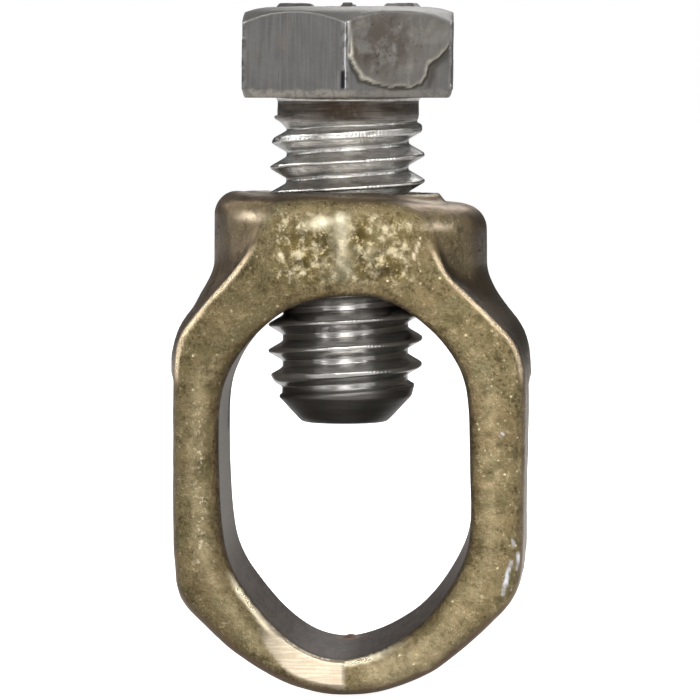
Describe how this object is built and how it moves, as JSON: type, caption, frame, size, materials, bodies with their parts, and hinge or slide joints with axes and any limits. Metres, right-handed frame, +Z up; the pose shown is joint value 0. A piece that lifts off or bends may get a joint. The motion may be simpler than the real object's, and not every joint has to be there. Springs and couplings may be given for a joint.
{
  "type": "ground clamp",
  "caption": "One-piece bronze loop clamp for a ground rod, tapped boss on top, hex-head clamping bolt that drives down into the oval opening.",
  "frame": {"origin": "lowest point of the loop, on the bolt's axis and halfway through the loop's depth", "axes": "+Z up along the bolt's axis towards its head, +Y along the rod (through the opening), +X across the loop"},
  "size_m": [0.0216, 0.0166, 0.0415],
  "materials": {
    "bronze": "as-cast bronze, aged olive-gold, pitted and worn bright on its edges",
    "steel": "dull grey steel, satin on the head and bright on the thread crests"
  },
  "bodies": {
    "clamp_body": {"clamp_body": "bronze"},
    "clamp_bolt": {"clamp_bolt": "steel"}
  },
  "joints": [
    {"name": "bolt_travel", "type": "slide", "parent": "clamp_body", "child": "clamp_bolt", "axis": [0, 0, -1], "range_m": [-0.00794, 0.00476]}
  ]
}
